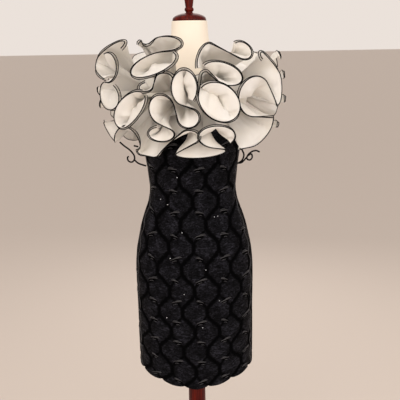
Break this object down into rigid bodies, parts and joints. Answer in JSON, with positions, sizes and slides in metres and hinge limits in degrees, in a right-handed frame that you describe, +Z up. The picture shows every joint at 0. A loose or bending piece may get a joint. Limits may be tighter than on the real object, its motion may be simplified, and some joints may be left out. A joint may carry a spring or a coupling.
{
  "type": "cocktail dress on a dress form",
  "caption": "Short sleeveless sheath dress in black ribbon lace with a deep collar of cord-edged organza flounces, worn on a turned-wood dress form.",
  "frame": {"origin": "on the floor, at the middle of the whole object's footprint", "axes": "+Z up, the front of the dress faces -Y, +X is on the right of someone who looks at the front"},
  "size_m": [0.5454, 0.4847, 1.8831],
  "materials": {
    "mahogany": "turned hardwood, red-brown stain, glossy lacquer",
    "cream_cover": "plain-woven cotton stretched over the form, matt",
    "black_ribbon_lace": "black satin ribbon worked into diamonds, satin loops and matt ground",
    "ivory_organza": "crisp sheer silk organza in two plies, edges bound in black cord"
  },
  "bodies": {
    "root": {"stand_base": "mahogany", "stand_pole": "mahogany", "neck_cap": "mahogany", "finial": "mahogany", "form_torso": "cream_cover", "sheath_front": "black_ribbon_lace", "sheath_back_left": "black_ribbon_lace", "sheath_back_right": "black_ribbon_lace", "collar_base": "ivory_organza", "flounce_neck_left": "ivory_organza", "flounce_neck_front": "ivory_organza", "flounce_neck_right": "ivory_organza", "flounce_scoop": "ivory_organza", "flounce_breast_right": "ivory_organza", "flounce_centre": "ivory_organza", "flounce_shoulder_left": "ivory_organza", "flounce_breast_left": "ivory_organza", "flounce_shoulder_right": "ivory_organza", "flounce_hem_front": "ivory_organza", "flounce_neck_back": "ivory_organza", "flounce_shoulder_back": "ivory_organza", "flounce_blade_back": "ivory_organza", "flounce_hem_back": "ivory_organza"}
  },
  "joints": []
}
